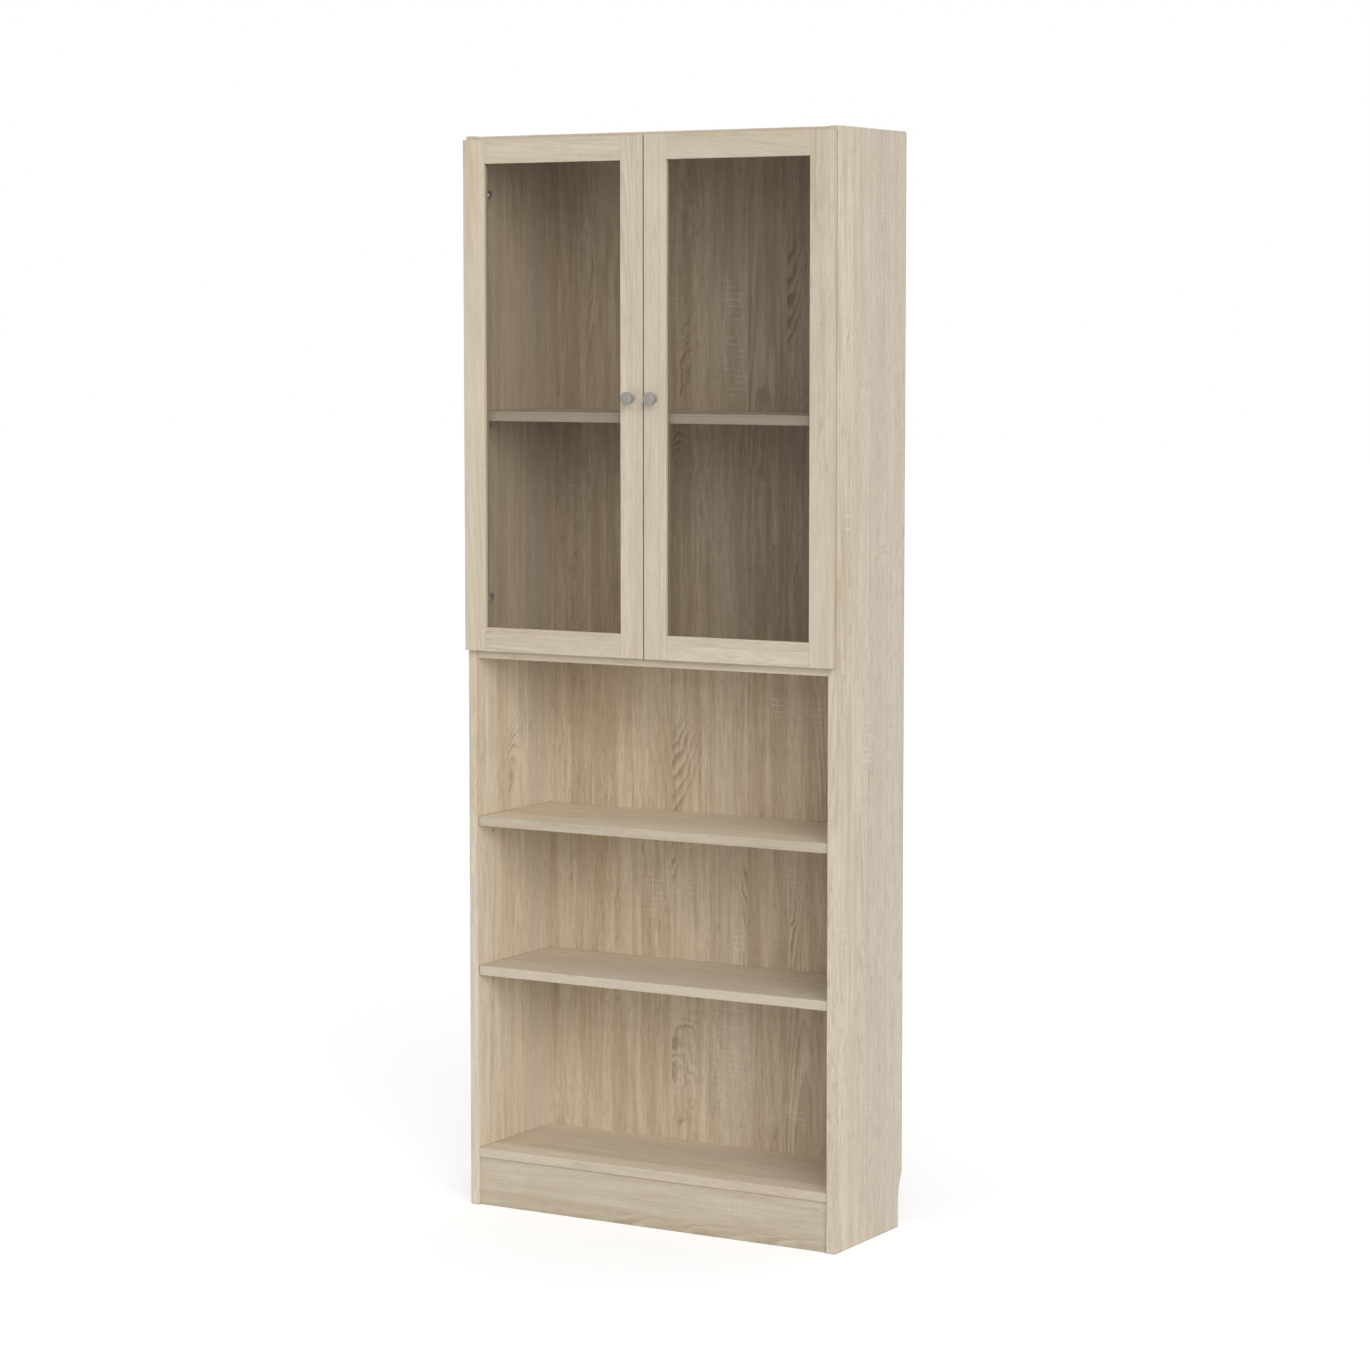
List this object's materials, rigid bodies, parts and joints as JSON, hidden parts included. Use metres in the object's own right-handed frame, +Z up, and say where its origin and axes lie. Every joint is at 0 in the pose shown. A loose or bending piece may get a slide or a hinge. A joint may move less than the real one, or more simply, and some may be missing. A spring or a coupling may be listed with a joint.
{
  "type": "bookcase",
  "caption": "Tall flat-pack bookcase in light oak finish: framed glass doors on concealed hinges over open shelf bays, with a plinth and a thin nailed back.",
  "frame": {"origin": "on the floor, under the middle of the overall width and depth", "axes": "+Z up, +X to the viewer's right when facing the doors, +Y from the doors to the back"},
  "size_m": [0.795, 0.303, 2.04],
  "materials": {
    "oak_board": "light sawn-oak print, matt, grain along each board",
    "oak_frame": "light sawn-oak print, matt, stiles upright and rails level grain",
    "oak_back": "thin fibreboard with the same print on its face",
    "glass": "clear float glass, slightly grey",
    "knob_metal": "satin grey",
    "hinge_steel": "nickel plated",
    "fastener_steel": "zinc plated",
    "support_steel": "nickel plated",
    "cam_zinc": "die-cast zinc, dull",
    "dowel_wood": "fluted beech dowel",
    "bumper_rubber": "soft clear grey"
  },
  "bodies": {
    "carcass": {"back_nails": "fastener_steel", "board_dowels": "dowel_wood", "bottom_shelf": "oak_board", "cam_bolts": "fastener_steel", "cam_locks": "cam_zinc", "display_shelf": "oak_board", "fixed_shelf": "oak_board", "left_arm_pivots": "hinge_steel", "left_arm_screws": "fastener_steel", "left_hinge_arms": "hinge_steel", "left_hinge_plates": "hinge_steel", "left_plate_screws": "fastener_steel", "left_side_panel": "oak_board", "lower_back_panel": "oak_back", "open_shelf_lower": "oak_board", "open_shelf_upper": "oak_board", "plinth_board": "oak_board", "right_arm_pivots": "hinge_steel", "right_arm_screws": "fastener_steel", "right_hinge_arms": "hinge_steel", "right_hinge_plates": "hinge_steel", "right_plate_screws": "fastener_steel", "right_side_panel": "oak_board", "shelf_supports": "support_steel", "top_panel": "oak_board", "upper_back_panel": "oak_back"},
    "left_outer_links": {"left_outer_links": "hinge_steel"},
    "left_inner_links": {"left_inner_links": "hinge_steel"},
    "left_door": {"left_hinge_stile": "oak_frame", "left_meeting_stile": "oak_frame", "left_top_rail": "oak_frame", "left_bottom_rail": "oak_frame", "left_glass_pane": "glass", "left_glass_beads": "oak_frame", "left_frame_dowels": "dowel_wood", "left_knob": "knob_metal", "left_knob_screw": "fastener_steel", "left_door_bumper": "bumper_rubber", "left_hinge_cups": "hinge_steel", "left_cup_screws": "fastener_steel", "left_cup_pins": "hinge_steel"},
    "right_outer_links": {"right_outer_links": "hinge_steel"},
    "right_inner_links": {"right_inner_links": "hinge_steel"},
    "right_door": {"right_hinge_stile": "oak_frame", "right_meeting_stile": "oak_frame", "right_top_rail": "oak_frame", "right_bottom_rail": "oak_frame", "right_glass_pane": "glass", "right_glass_beads": "oak_frame", "right_frame_dowels": "dowel_wood", "right_knob": "knob_metal", "right_knob_screw": "fastener_steel", "right_door_bumper": "bumper_rubber", "right_hinge_cups": "hinge_steel", "right_cup_screws": "fastener_steel", "right_cup_pins": "hinge_steel"}
  },
  "joints": [
    {"name": "left_door_swing", "type": "hinge", "parent": "left_outer_links", "child": "left_door", "pos_m": [-0.3871, -0.1177, 1.55195], "axis": [0, 0, -1], "range_deg": [0, 132]},
    {"name": "left_outer_link_turn", "type": "hinge", "parent": "carcass", "child": "left_outer_links", "pos_m": [-0.3625, -0.1033, 1.55195], "axis": [0, 0, -1], "range_deg": [-32.01, 0]},
    {"name": "left_inner_link_turn", "type": "hinge", "parent": "carcass", "child": "left_inner_links", "pos_m": [-0.3567, -0.1016, 1.55195], "axis": [0, 0, -1], "range_deg": [-13.81, 0]},
    {"name": "right_door_swing", "type": "hinge", "parent": "right_outer_links", "child": "right_door", "pos_m": [0.3871, -0.1177, 1.55195], "axis": [0, 0, 1], "range_deg": [0, 132]},
    {"name": "right_outer_link_turn", "type": "hinge", "parent": "carcass", "child": "right_outer_links", "pos_m": [0.3625, -0.1033, 1.55195], "axis": [0, 0, 1], "range_deg": [-32.01, 0]},
    {"name": "right_inner_link_turn", "type": "hinge", "parent": "carcass", "child": "right_inner_links", "pos_m": [0.3567, -0.1016, 1.55195], "axis": [0, 0, 1], "range_deg": [-13.81, 0]}
  ],
  "couplings": [
    {"joint": "left_outer_link_turn", "follows": "left_door_swing", "ratio": -0.24242},
    {"joint": "left_inner_link_turn", "follows": "left_door_swing", "ratio": -0.10454},
    {"joint": "right_outer_link_turn", "follows": "right_door_swing", "ratio": -0.24242},
    {"joint": "right_inner_link_turn", "follows": "right_door_swing", "ratio": -0.10454}
  ]
}
